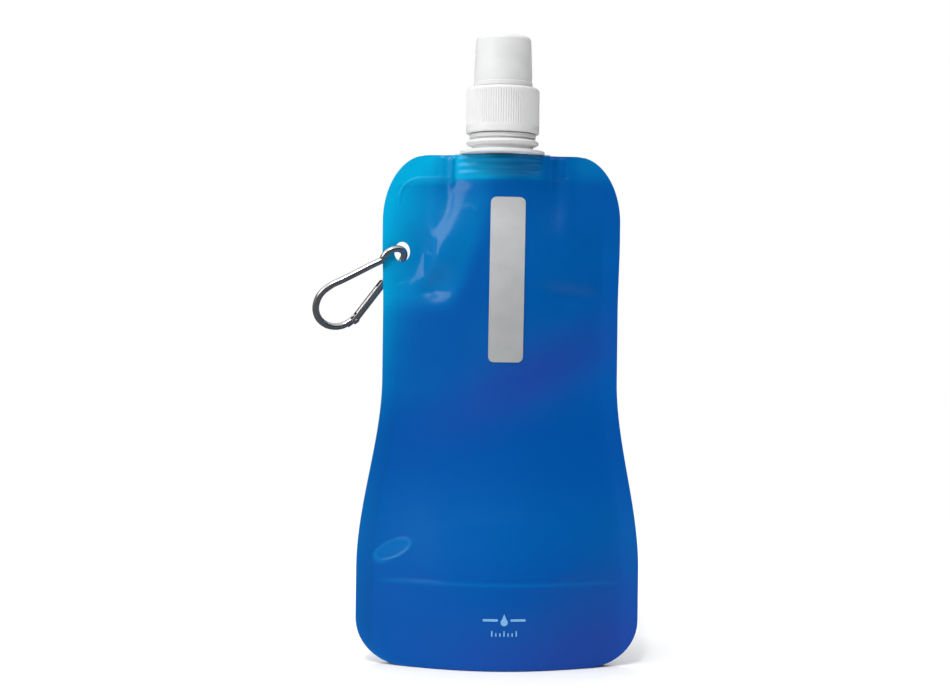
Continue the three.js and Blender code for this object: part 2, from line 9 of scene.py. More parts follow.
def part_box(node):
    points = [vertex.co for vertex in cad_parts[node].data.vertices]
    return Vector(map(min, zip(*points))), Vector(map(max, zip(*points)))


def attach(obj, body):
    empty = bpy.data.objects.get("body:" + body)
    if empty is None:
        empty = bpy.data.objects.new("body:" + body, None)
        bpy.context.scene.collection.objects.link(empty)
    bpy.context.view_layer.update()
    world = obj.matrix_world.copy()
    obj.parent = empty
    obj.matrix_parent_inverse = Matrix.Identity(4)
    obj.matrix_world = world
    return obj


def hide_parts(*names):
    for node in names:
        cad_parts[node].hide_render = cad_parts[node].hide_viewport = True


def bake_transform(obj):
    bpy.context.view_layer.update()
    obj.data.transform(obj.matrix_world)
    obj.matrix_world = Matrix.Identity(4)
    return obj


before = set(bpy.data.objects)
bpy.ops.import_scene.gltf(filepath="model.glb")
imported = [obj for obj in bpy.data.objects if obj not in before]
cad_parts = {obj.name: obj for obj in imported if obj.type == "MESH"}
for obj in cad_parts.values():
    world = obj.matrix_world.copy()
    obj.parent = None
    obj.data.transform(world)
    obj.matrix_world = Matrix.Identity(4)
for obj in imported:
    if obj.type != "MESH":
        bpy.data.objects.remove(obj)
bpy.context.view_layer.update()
scene = bpy.context.scene
MM = 0.001
spout_low, spout_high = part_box("spout")
AXIS_X = (spout_low.x + spout_high.x) / 2 / MM  # the pouch's centre line, mm


# ---- Stage: camera, lights, floor ----

camera_data = bpy.data.cameras.new("camera")
camera_data.lens = 71.1
camera_data.shift_x = -0.0262
camera = bpy.data.objects.new("camera", camera_data)
camera.location = (AXIS_X * MM, -0.8, 0.13385)
level = Matrix.Rotation(math.radians(90), 4, "X")
roll = Matrix.Rotation(math.radians(0.72), 4, "Z")
camera.rotation_euler = (level @ roll).to_euler()
scene.collection.objects.link(camera)
scene.camera = camera
scene.view_settings.view_transform = "Standard"


def soft_sun(name, azimuth, elevation, angle, strength):
    """A distant softbox. Azimuth 0 is in front, negative is to the left; angle is how wide it looks."""
    data = bpy.data.lights.new(name, "SUN")
    data.angle = math.radians(angle)
    data.energy = strength
    lamp = bpy.data.objects.new(name, data)
    a = math.radians(azimuth)
    e = math.radians(elevation)
    place = Vector((math.sin(a) * math.cos(e), -math.cos(a) * math.cos(e), math.sin(e)))
    lamp.location = place * 1.5
    lamp.rotation_euler = place.to_track_quat("Z", "Y").to_euler()
    scene.collection.objects.link(lamp)
    return lamp


soft_sun("key_left", -56, 24, 34, 0.74)
soft_sun("top_front", -14, 50, 20, 0.62)
soft_sun("top_core", -10, 46, 4, 0.55)
soft_sun("overhead", 0, 86, 120, 1.9)


def studio_world():
    """White behind the bottle for the camera, and a studio for everything else.

    The studio is bright on the left, dim in front, and dark behind in reflections.
    """
    world = bpy.data.worlds.new("studio")
    scene.world = world
    world.use_nodes = True
    tree = world.node_tree
    tree.nodes.clear()
    out = tree.nodes.new("ShaderNodeOutputWorld")
    backdrop = tree.nodes.new("ShaderNodeBackground")
    backdrop.inputs["Color"].default_value = (1, 1, 1, 1)
    studio = tree.nodes.new("ShaderNodeBackground")
    direction = tree.nodes.new("ShaderNodeTexCoord")
    axes = tree.nodes.new("ShaderNodeSeparateXYZ")
    tree.links.new(direction.outputs["Generated"], axes.inputs[0])
    left = tree.nodes.new("ShaderNodeMapRange")
    left.interpolation_type = "SMOOTHSTEP"
    for socket, value in zip(left.inputs[1:], (-0.7, 0.7, 0.72, 0.12)):
        socket.default_value = value
    tree.links.new(axes.outputs["X"], left.inputs["Value"])
    front = tree.nodes.new("ShaderNodeMapRange")
    front.interpolation_type = "SMOOTHSTEP"
    for socket, value in zip(front.inputs[1:], (-1.0, 0.1, 0.35, 1.0)):
        socket.default_value = value
    tree.links.new(axes.outputs["Y"], front.inputs["Value"])
    strength = tree.nodes.new("ShaderNodeMath")
    strength.operation = "MULTIPLY"
    tree.links.new(left.outputs[0], strength.inputs[0])
    tree.links.new(front.outputs[0], strength.inputs[1])
    ray = tree.nodes.new("ShaderNodeLightPath")
    behind = tree.nodes.new("ShaderNodeMapRange")
    behind.interpolation_type = "SMOOTHSTEP"
    for socket, value in zip(behind.inputs[1:], (0.1, 0.8, 0.5, 0.04)):
        socket.default_value = value
    tree.links.new(axes.outputs["Y"], behind.inputs["Value"])
    mirrored = tree.nodes.new("ShaderNodeMix")
    mirrored.inputs[2].default_value = 1.0
    tree.links.new(ray.outputs["Is Glossy Ray"], mirrored.inputs[0])
    tree.links.new(behind.outputs[0], mirrored.inputs[3])
    seen = tree.nodes.new("ShaderNodeMath")
    seen.operation = "MULTIPLY"
    tree.links.new(strength.outputs[0], seen.inputs[0])
    tree.links.new(mirrored.outputs[0], seen.inputs[1])
    tree.links.new(seen.outputs[0], studio.inputs["Strength"])
    choose = tree.nodes.new("ShaderNodeMixShader")
    tree.links.new(ray.outputs["Is Camera Ray"], choose.inputs["Fac"])
    tree.links.new(studio.outputs[0], choose.inputs[1])
    tree.links.new(backdrop.outputs[0], choose.inputs[2])
    tree.links.new(choose.outputs[0], out.inputs["Surface"])


studio_world()


# ---- Small helpers ----

def smoothstep(v, low, high):
    t = np.clip((v - low) / (high - low), 0, 1)
    return t * t * (3 - 2 * t)


def add_object(name, points, faces, material, sharp=35, smooth=True):
    """A mesh object from points in mm about the bottle's centre line."""
    mesh = bpy.data.meshes.new(name)
    co = np.asarray(points, float).reshape(-1, 3).copy()
    co[:, 0] += AXIS_X
    mesh.from_pydata((co * MM).tolist(), [], [list(f) for f in faces])
    mesh.validate()
    mesh.update()
    obj = bpy.data.objects.new(name, mesh)
    scene.collection.objects.link(obj)
    obj.data.materials.append(material)
    finish_shading(obj, sharp, smooth)
    return obj


def finish_shading(obj, sharp=35, smooth=True):
    work = bmesh.new()
    work.from_mesh(obj.data)
    bmesh.ops.recalc_face_normals(work, faces=work.faces)
    limit = math.radians(sharp)
    for face in work.faces:
        face.smooth = smooth
    for edge in work.edges:
        edge.smooth = len(edge.link_faces) == 2 and edge.calc_face_angle(0) < limit
    work.to_mesh(obj.data)
    work.free()


def rounded(profile, radius=0.25, steps=3, closed=False):
    """A profile of (r, z) pairs whose corners are rounded."""
    pts = [np.array(p, float) for p in profile]
    n = len(pts)
    out = []
    for i, p in enumerate(pts):
        if not closed and i in (0, n - 1):
            out.append(tuple(p))
            continue
        a, b = pts[i - 1], pts[(i + 1) % n]
        da, db = a - p, b - p
        la, lb = np.linalg.norm(da), np.linalg.norm(db)
        if la < 1e-6 or lb < 1e-6:
            out.append(tuple(p))
            continue
        r = min(radius, 0.45 * la, 0.45 * lb)
        s, e = p + da / la * r, p + db / lb * r
        for k in range(steps + 1):
            t = k / steps
            out.append(tuple((1 - t) ** 2 * s + 2 * t * (1 - t) * p + t * t * e))
    return out


def lathe_mesh(profile, segments, ribs=None):
    """Points and faces of a profile turned about the centre line. ribs(angle, r, z) gives a change of radius."""
    points, faces, index = [], [], []
    for r, z in profile:
        if r < 1e-6:
            index.append([len(points)] * segments)
            points.append((0, 0, z))
            continue
        ring = []
        for k in range(segments):
            a = 2 * math.pi * k / segments
            rr = r + (ribs(a, r, z) if ribs else 0)
            ring.append(len(points))
            points.append((rr * math.cos(a), rr * math.sin(a), z))
        index.append(ring)
    for low, high in zip(index, index[1:]):
        for k in range(segments):
            j = (k + 1) % segments
            corners = [low[k], low[j], high[j], high[k]]
            unique = list(dict.fromkeys(corners))
            if len(unique) > 2:
                faces.append(unique)
    return points, faces


def merged(parts):
    points, faces = [], []
    for p, f in parts:
        base = len(points)
        points += list(p)
        faces += [[i + base for i in face] for face in f]
    return points, faces


def loft_mesh(rings, caps=True):
    n = len(rings[0])
    points = [tuple(p) for ring in rings for p in ring]
    faces = []
    for i in range(len(rings) - 1):
        for j in range(n):
            a, b = i * n + j, i * n + (j + 1) % n
            faces.append([a, b, b + n, a + n])
    if caps:
        faces.append(list(range(n))[::-1])
        faces.append(list(range((len(rings) - 1) * n, len(rings) * n)))
    return points, faces


# ---- Materials ----

class Nodes:
    """Short forms for building a material's node tree."""

    def __init__(self, name):
        self.material = bpy.data.materials.new(name)
        self.material.use_nodes = True
        self.tree = self.material.node_tree
        self.tree.nodes.clear()
        self.out = self.tree.nodes.new("ShaderNodeOutputMaterial")

    def new(self, kind, **settings):
        node = self.tree.nodes.new(kind)
        for key, value in settings.items():
            setattr(node, key, value)
        return node

    def feed(self, socket, value):
        if isinstance(value, (int, float)):
            socket.default_value = value
        elif isinstance(value, (tuple, list)):
            socket.default_value = value
        else:
            self.tree.links.new(value, socket)

    def math(self, operation, a, b=0.0, c=None, clamp=False):
        node = self.new("ShaderNodeMath", operation=operation, use_clamp=clamp)
        self.feed(node.inputs[0], a)
        self.feed(node.inputs[1], b)
        if c is not None:
            self.feed(node.inputs[2], c)
        return node.outputs[0]

    def mix(self, factor, a, b, blend="MIX"):
        node = self.new("ShaderNodeMix", data_type="RGBA", blend_type=blend)
        self.feed(node.inputs[0], factor)
        self.feed(node.inputs[6], a)
        self.feed(node.inputs[7], b)
        return node.outputs[2]

    def remap(self, value, low, high, to_low, to_high, smooth=True):
        node = self.new("ShaderNodeMapRange")
        node.interpolation_type = "SMOOTHSTEP" if smooth else "LINEAR"
        for socket, v in zip(node.inputs, (value, low, high, to_low, to_high)):
            self.feed(socket, v)
        return node.outputs[0]

    def noise(self, vector, scale, detail=2.0, roughness=0.5, distortion=0.0):
        node = self.new("ShaderNodeTexNoise")
        self.feed(node.inputs["Vector"], vector)
        node.inputs["Scale"].default_value = scale
        node.inputs["Detail"].default_value = detail
        node.inputs["Roughness"].default_value = roughness
        node.inputs["Distortion"].default_value = distortion
        return node.outputs["Fac"]

    def bump(self, height, strength, distance, normal=None):
        node = self.new("ShaderNodeBump")
        node.inputs["Strength"].default_value = strength
        node.inputs["Distance"].default_value = distance
        self.feed(node.inputs["Height"], height)
        if normal is not None:
            self.feed(node.inputs["Normal"], normal)
        return node.outputs[0]

    def coords(self, kind="Object"):
        return self.new("ShaderNodeTexCoord").outputs[kind]

    def principled(self, **inputs):
        node = self.new("ShaderNodeBsdfPrincipled")
        for key, value in inputs.items():
            self.feed(node.inputs[key.replace("_", " ")], value)
        return node

    def surface(self, shader):
        self.tree.links.new(shader, self.out.inputs["Surface"])
        return self.material


def srgb(r, g, b):
    def linear(c):
        c = c / 255
        return c / 12.92 if c <= 0.04045 else ((c + 0.055) / 1.055) ** 2.4
    return (linear(r), linear(g), linear(b), 1.0)


def film_material(name, opacity):
    """Tinted glossy film.

    The tint attribute holds three masks: red for the clear thin edge together with painted light (a lit left side
    and top, lighter zones over the weld base and below the spout, a painted highlight along the gusset crease),
    green for a painted purple reflection, and blue for the welded spots.
    """
    n = Nodes(name)
    masks = n.new("ShaderNodeVertexColor", layer_name="tint").outputs["Color"]
    split_masks = n.new("ShaderNodeSeparateColor")
    n.feed(split_masks.inputs[0], masks)
    clear_edge_and_painted_light, painted_purple_reflection, weld = split_masks.outputs[0], split_masks.outputs[1], split_masks.outputs[2]
    uv = n.coords("UV")
    cloud = n.noise(uv, 6.0, 3.0, 0.5)
    body = n.mix(n.remap(cloud, 0.3, 0.7, 0, 1), srgb(0, 86, 168), srgb(0, 93, 173))
    height = n.new("ShaderNodeSeparateXYZ")
    n.feed(height.inputs[0], uv)
    # Painted shade: the film below mid-height is drawn darker.
    body = n.mix(n.remap(height.outputs[1], 0.39, 0.49, 1, 0), body, srgb(0, 81, 164))
    # Painted reflection: a darker purple cast mixed in by the second mask.
    body = n.mix(painted_purple_reflection, body, srgb(28, 72, 163))
    # Painted light over the clear thin edge: a bright blue-green where the film is drawn lit from the left and top.
    body = n.mix(clear_edge_and_painted_light, body, srgb(0, 180, 232))
    body = n.mix(weld, body, srgb(20, 140, 200))
    fine = n.noise(uv, 420.0, 2.0, 0.6)
    waves = n.noise(uv, 9.0, 2.0, 0.45, 0.4)
    roughness = n.remap(fine, 0.25, 0.75, 0.13, 0.21)
    normal = n.bump(waves, 0.25, 0.0012)
    normal = n.bump(fine, 0.06, 0.00006, normal)
    shader = n.principled(Base_Color=body, Roughness=roughness, Normal=normal)
    shader.inputs["IOR"].default_value = 1.36
    clear = n.new("ShaderNodeBsdfTransparent")
    clear.inputs["Color"].default_value = srgb(60, 150, 225)
    blend = n.new("ShaderNodeMixShader")
    blend.inputs["Fac"].default_value = opacity
    n.tree.links.new(clear.outputs[0], blend.inputs[1])
    n.tree.links.new(shader.outputs[0], blend.inputs[2])
    return n.surface(blend.outputs[0])


def white_plastic_material():
    n = Nodes("white_plastic")
    where = n.coords("Object")
    cloud = n.noise(where, 60.0, 3.0, 0.5)
    grain = n.noise(where, 2600.0, 2.0, 0.55)
    body = n.mix(n.remap(cloud, 0.3, 0.7, 0, 1), srgb(231, 231, 231), srgb(238, 238, 238))
    normal = n.bump(grain, 0.12, 0.00003)
    shader = n.principled(Base_Color=body, Roughness=n.remap(grain, 0.3, 0.7, 0.3, 0.42), Normal=normal)
    shader.inputs["IOR"].default_value = 1.49
    shader.inputs["Subsurface Weight"].default_value = 0.12
    shader.inputs["Subsurface Radius"].default_value = (1.0, 1.0, 1.0)
    shader.inputs["Subsurface Scale"].default_value = 0.001
    return n.surface(shader.outputs[0])


def frosted_material():
    n = Nodes("frosted_plastic")
    where = n.coords("Object")
    grain = n.noise(where, 3200.0, 2.0, 0.6)
    flow = n.noise(where, 90.0, 3.0, 0.5)
    body = n.mix(n.remap(flow, 0.3, 0.7, 0, 1), srgb(250, 251, 251), srgb(254, 254, 254))
    normal = n.bump(grain, 0.2, 0.00004)
    shader = n.principled(Base_Color=body, Roughness=n.remap(grain, 0.3, 0.7, 0.26, 0.38), Normal=normal)
    shader.inputs["IOR"].default_value = 1.46
    clear = n.new("ShaderNodeBsdfTransparent")
    clear.inputs["Color"].default_value = (0.99, 0.99, 0.99, 1)
    blend = n.new("ShaderNodeMixShader")
    n.feed(blend.inputs["Fac"], n.remap(flow, 0.2, 0.8, 0.69, 0.75))
    n.tree.links.new(clear.outputs[0], blend.inputs[1])
    n.tree.links.new(shader.outputs[0], blend.inputs[2])
    return n.surface(blend.outputs[0])


def strip_material():
    n = Nodes("write_on_ink")
    uv = n.coords("UV")
    speck = n.noise(uv, 900.0, 3.0, 0.7)
    cloud = n.noise(uv, 30.0, 2.0, 0.5)
    body = n.mix(n.remap(cloud, 0.3, 0.7, 0, 1), srgb(196, 198, 199), srgb(203, 205, 206))
    height = n.new("ShaderNodeSeparateXYZ")
    n.feed(height.inputs[0], uv)
    body = n.mix(n.remap(height.outputs[1], 0.51, 0.76, 0.3, 0.0), body, srgb(116, 120, 120))
    body = n.mix(n.remap(speck, 0.55, 0.75, 0, 0.35), body, srgb(214, 216, 219))
    normal = n.bump(speck, 0.1, 0.00004)
    shader = n.principled(Base_Color=body, Roughness=n.remap(speck, 0.3, 0.7, 0.4, 0.55), Normal=normal)
    shader.inputs["Metallic"].default_value = 0.25
    return n.surface(shader.outputs[0])


def print_material():
    n = Nodes("print_ink")
    where = n.coords("Object")
    speck = n.noise(where, 3000.0, 2.0, 0.6)
    body = n.mix(n.remap(speck, 0.35, 0.65, 0, 1), srgb(104, 164, 214), srgb(128, 182, 224))
    shader = n.principled(Base_Color=body, Roughness=n.remap(speck, 0.3, 0.7, 0.35, 0.5))
    return n.surface(shader.outputs[0])


def metal_material(name, color, rough_low, rough_high, scratch=0.15):
    n = Nodes(name)
    where = n.coords("Object")
    stretch = n.new("ShaderNodeMapping")
    n.feed(stretch.inputs["Vector"], where)
    stretch.inputs["Rotation"].default_value = (0, math.radians(-40), 0)
    stretch.inputs["Scale"].default_value = (60, 900, 900)
    lines = n.noise(stretch.outputs[0], 3.0, 3.0, 0.65)
    wear = n.noise(where, 380.0, 3.0, 0.6)
    body = n.mix(n.remap(wear, 0.35, 0.7, 0, 1), color, tuple(0.86 * c for c in color[:3]) + (1,))
    normal = n.bump(lines, scratch, 0.00003)
    shader = n.principled(Base_Color=body, Roughness=n.remap(wear, 0.3, 0.7, rough_low, rough_high), Normal=normal)
    shader.inputs["Metallic"].default_value = 1.0
    return n.surface(shader.outputs[0])


def seal_material():
    n = Nodes("seal_foam")
    where = n.coords("Object")
    cells = n.noise(where, 1800.0, 3.0, 0.7)
    body = n.mix(n.remap(cells, 0.3, 0.7, 0, 1), srgb(205, 208, 206), srgb(226, 228, 226))
    shader = n.principled(
        Base_Color=body, Roughness=n.remap(cells, 0.3, 0.7, 0.6, 0.8), Normal=n.bump(cells, 0.3, 0.00008)
    )
    return n.surface(shader.outputs[0])


FILM_FRONT = film_material("film_front", 0.9)
FILM_BACK = film_material("film_back", 0.9)
FILM_GUSSET = film_material("film_gusset", 0.9)
WHITE = white_plastic_material()
FROSTED = frosted_material()
STRIP_INK = strip_material()
PRINT_INK = print_material()
ALUMINIUM = metal_material("polished_aluminium", (0.66, 0.66, 0.66, 1), 0.2, 0.28)
STEEL = metal_material("plated_steel", (0.6, 0.61, 0.62, 1), 0.2, 0.32)
SEAL = seal_material()


# ---- Pouch: outline and depth, mm about the centre line ----

FILM = 0.3
SEAM = 0.45
SIDE_SEAL = 7.0
HEIGHT = 216.5
CORNER = 19.5
TOP_HALF = 32.0
TOP_CORNER = 28.2
TOP_SEAL = 206.5
EYELET = (-42.2, 175.2)
EYELET_HALF = (3.35, 4.25)


def side_half(z):
    return 60.1 - 10.1 * smoothstep(z, 41, 121) + 0.6 * smoothstep(z, 150, 182)


def half_width(z):
    side = side_half(z)
    down = np.clip((CORNER - z) / CORNER, 0, 1)
    up = np.clip((z - HEIGHT + TOP_CORNER) / TOP_CORNER, 0, 1)
    low = side - CORNER * (1 - np.sqrt(1 - down * down))
    high = TOP_HALF + (side - TOP_HALF) * np.sqrt(1 - up * up)
    return np.where(down > 0, low, high)


def base_cover(x):
    a = np.clip(np.abs(x) / 24, 0, 1)
    return 6.6 * (1 - a * a) ** 1.3 + 0.75 * (1 - smoothstep(np.abs(x), 27.5, 33))


def half_depth(x, z):
    opening = 18 - 12 * smoothstep(z, 20, 105) + 3.5 * smoothstep(z, 112, 165)
    across = np.clip(np.abs(x) / (side_half(z) - SIDE_SEAL), 0, 1)
    body = opening * (1 - across * across) ** 1.3
    t = smoothstep(z, TOP_SEAL - 36, TOP_SEAL)
    swell = body * (1 - t) + base_cover(x) * t
    return SEAM + swell * smoothstep(np.hypot(x - EYELET[0], z - EYELET[1]), 6.5, 16)


def along(x, z, line):
    """Nearest distance to a line through points, how far along it from 0 to 1, and the side.

    The side is positive to the left of the line's direction.
    """
    pts = [np.array(p, float) for p in line]
    lengths = [np.linalg.norm(b - a) for a, b in zip(pts, pts[1:])]
    total = sum(lengths)
    best = np.full(np.shape(x), 1e9)
    place = np.zeros(np.shape(x))
    side = np.zeros(np.shape(x))
    done = 0.0
    for a, b, length in zip(pts, pts[1:], lengths):
        d = (b - a) / length
        px, pz = x - a[0], z - a[1]
        t = np.clip(px * d[0] + pz * d[1], 0, length)
        dx, dz = px - t * d[0], pz - t * d[1]
        dist = np.hypot(dx, dz)
        near = dist < best
        best = np.where(near, dist, best)
        place = np.where(near, (done + t) / total, place)
        side = np.where(near, d[0] * pz - d[1] * px, side)
        done += length
    return best, place, side


def crest(x, z, line, height, width, other_width=None, grow=(0.0, 0.25), fade=(0.75, 1.0)):
    """A round ridge along a line, width wide on its left and other_width on its right, tapered at its ends."""
    dist, t, side = along(x, z, line)
    w = np.where(side > 0, width, other_width or width)
    profile = smoothstep(t, *grow) if grow else 1.0
    profile = profile * ((1 - smoothstep(t, *fade)) if fade else 1.0)
    return height * profile * np.exp(-((dist / w) ** 2))


def lean(x, z, line, flanks, slopes, back):
    """A fold with a smooth facet on its left, which dies away over the distance back on its right.

    The facet's widths are flanks and its steepness is slopes, both given along the line.
    """
    dist, t, side = along(x, z, line)
    width = np.interp(t, np.linspace(0, 1, len(flanks)), flanks)
    height = np.interp(t, np.linspace(0, 1, len(slopes)), slopes) * width
    height = height * smoothstep(t, 0.0, 0.12) * (1 - smoothstep(t, 0.86, 1.0))
    left = (1 + np.cos(np.pi * np.clip(dist / width, 0, 1))) / 2
    right = np.exp(-((dist / back) ** 2))
    return height * np.where(side > 0, right, left)


def bulge(x, z, cx, cz, rx, rz, height, tilt=0.0):
    a = math.radians(tilt)
    dx, dz = x - cx, z - cz
    u = (dx * math.cos(a) + dz * math.sin(a)) / rx
    v = (-dx * math.sin(a) + dz * math.cos(a)) / rz
    return height * np.exp(-(u * u + v * v))


def seal_inset(x, z):
    """Distance inside the welded band along the two sides and the top: negative in the band."""
    side = side_half(z) - SIDE_SEAL - np.abs(x)
    top = TOP_SEAL - z
    corner_x, corner_z, radius = side_half(z) - SIDE_SEAL - 9, TOP_SEAL - 9, 9
    in_corner = (np.abs(x) > corner_x) & (z > corner_z)
    rounded_corner = radius - np.hypot(np.abs(x) - corner_x, z - corner_z)
    return np.where(in_corner, rounded_corner, np.minimum(side, top))


def oval_spot(x, z):
    """Distance to the rim of the oval weld that ties a corner of the gusset to the front film, in mm about."""
    a = math.radians(25)
    dx, dz = x + 44.6, z - 48.6
    u = (dx * math.cos(a) + dz * math.sin(a)) / 8.4
    v = (-dx * math.sin(a) + dz * math.cos(a)) / 3.5
    return (np.hypot(u, v) - 1) * 4.6


def front_relief(x, z):
    """How far the front film stands out of its smooth shape, mm: folds under the spout, creases, weld marks."""
    r = np.zeros(np.shape(x))
    r += lean(x, z, [(-18.6, 206), (-18.6, 193), (-21.6, 184), (-27.4, 174), (-31.0, 163)],
              (2.2, 4.8, 6.6, 6.2, 3.0), (0.21, 0.225, 0.245, 0.31, 0.3), 9.0)
    r -= 2.15 * np.exp(-(((x + 28.2) / 6.0) ** 2) - ((z - 158.8) / np.where(z < 158.8, 3.4, 6.5)) ** 2)
    r -= bulge(x, z, -42.0, 163.0, 5.0, 3.0, 0.4, 14)
    r += crest(x, z, [(-46.0, 160.2), (-42.0, 161.4), (-38.6, 162.9)], 0.2, 0.7, 1.4, (0.0, 0.35), (0.55, 1.0))
    r += crest(x, z, [(-14.7, 196.1), (-9.9, 190.6)], 0.16, 0.6, 1.6, (0.0, 0.3), (0.8, 1.0))
    r += crest(x, z, [(-9.9, 190.6), (-9.7, 196.1), (-11.6, 201)], 0.16, 0.6, 0.8, (0.0, 0.2), (0.5, 1.0))
    r -= crest(x, z, [(-8.5, 186), (-15.4, 165), (-19.5, 155.6)], 0.4, 4.5, 7.0, (0.0, 0.4), (0.65, 1.0))
    r -= bulge(x, z, 28.5, 156.8, 12, 4.8, 1.5, -8)
    r += crest(x, z, [(37, 152), (38.5, 163), (36, 176)], 0.3, 3.0, 5.0, (0.0, 0.5), (0.5, 1.0))
    for sign, height in ((-1, 0.75), (1, 0.35)):
        upright = smoothstep(z, 199, 206) * (1 - smoothstep(z, 214.5, 216.4))
        r += height * np.exp(-(((sign * x - 21.2) / 0.9) ** 2)) * upright
    band = seal_inset(x, z)
    seen = smoothstep(z, 192, 200) * smoothstep(np.abs(x), 20, 24) * (1 - 0.8 * smoothstep(x, 26, 32))
    r += 0.34 * seen * np.exp(-((band / 0.5) ** 2))
    for rib in (208.7, 211.7, 214.7):
        half = 20.4
        reach = 1 - smoothstep(np.abs(x), half - 6.0, half - 1.0)
        r += 0.6 * reach * np.exp(-(((z - rib) / 0.75) ** 2))
    wing = smoothstep(np.abs(x), 19.5, 21.5) * (1 - smoothstep(np.abs(x), 25.8, 27.0))
    r += 0.35 * wing * smoothstep(z, 206.0, 207.2) * (1 - smoothstep(z, 215.0, 216.4))
    spot = oval_spot(x, z)
    r += 0.1 * np.exp(-((spot / 0.6) ** 2)) - 0.08 * (1 - smoothstep(spot, -1.2, 0))
    r += crest(x, z, [(-53, 35.9), (-20, 35.5), (10, 35.3), (44, 35.6)], 0.13, 0.9, 2.6, (0.0, 0.1), (0.55, 1.0))
    r += crest(x, z, [(-36, 55), (-12, 60.5), (16, 61), (46, 57)], 0.12, 3.0, 5.0, (0.0, 0.3), (0.6, 1.0))
    r += crest(x, z, [(14, 36), (28, 40), (42, 45)], 0.25, 2.0, 3.0, (0.0, 0.3), (0.6, 1.0))
    keep = smoothstep(half_width(z) - np.abs(x), 0.5, 6.0) * smoothstep(z, 1.0, 8.0)
    keep = keep * np.where(z > 205, smoothstep(HEIGHT - z, -0.5, 0.8), 1)
    clear_hole = smoothstep(np.hypot(x - EYELET[0], z - EYELET[1]), 6.3, 9.0)
    return r * keep * clear_hole


def back_relief(x, z):
    """The back film's own, gentler folds."""
    r = np.zeros(np.shape(x))
    shoulder_fold = [(-20.5, 206), (-24, 190), (-30, 172), (-31, 160)]
    for side in (-1, 1):
        r += crest(x * side, z, shoulder_fold, 1.6, 5.0, 3.6, (0.02, 0.35), (0.7, 1.0))
    r += crest(x, z, [(-30, 156), (0, 152), (26, 157)], 0.7, 4.0, 6.0, (0.1, 0.5), (0.6, 1.0))
    band = seal_inset(x, z)
    r += 0.22 * smoothstep(z, 150, 190) * np.exp(-((band / 0.8) ** 2))
    for rib in (208.7, 211.7, 214.7):
        reach = 1 - smoothstep(np.abs(x), 16.4, 20.9)
        r += 0.55 * reach * np.exp(-(((z - rib) / 0.85) ** 2))
    for side in (-1, 1):
        spot = oval_spot(x * side, z)
        r += 0.3 * np.exp(-((spot / 0.75) ** 2)) - 0.25 * (1 - smoothstep(spot, -1.2, 0))
    r += crest(x, z, [(-50, 35.3), (0, 35.0), (50, 35.3)], 0.28, 0.9, 2.6, (0.0, 0.1), (0.85, 1.0))
    keep = smoothstep(half_width(z) - np.abs(x), 0.5, 6.0) * smoothstep(z, 1.0, 8.0)
    clear_hole = smoothstep(np.hypot(x - EYELET[0], z - EYELET[1]), 6.3, 9.0)
    return r * keep * clear_hole


def front_y(x, z):
    return -(half_depth(x, z) + front_relief(x, z))


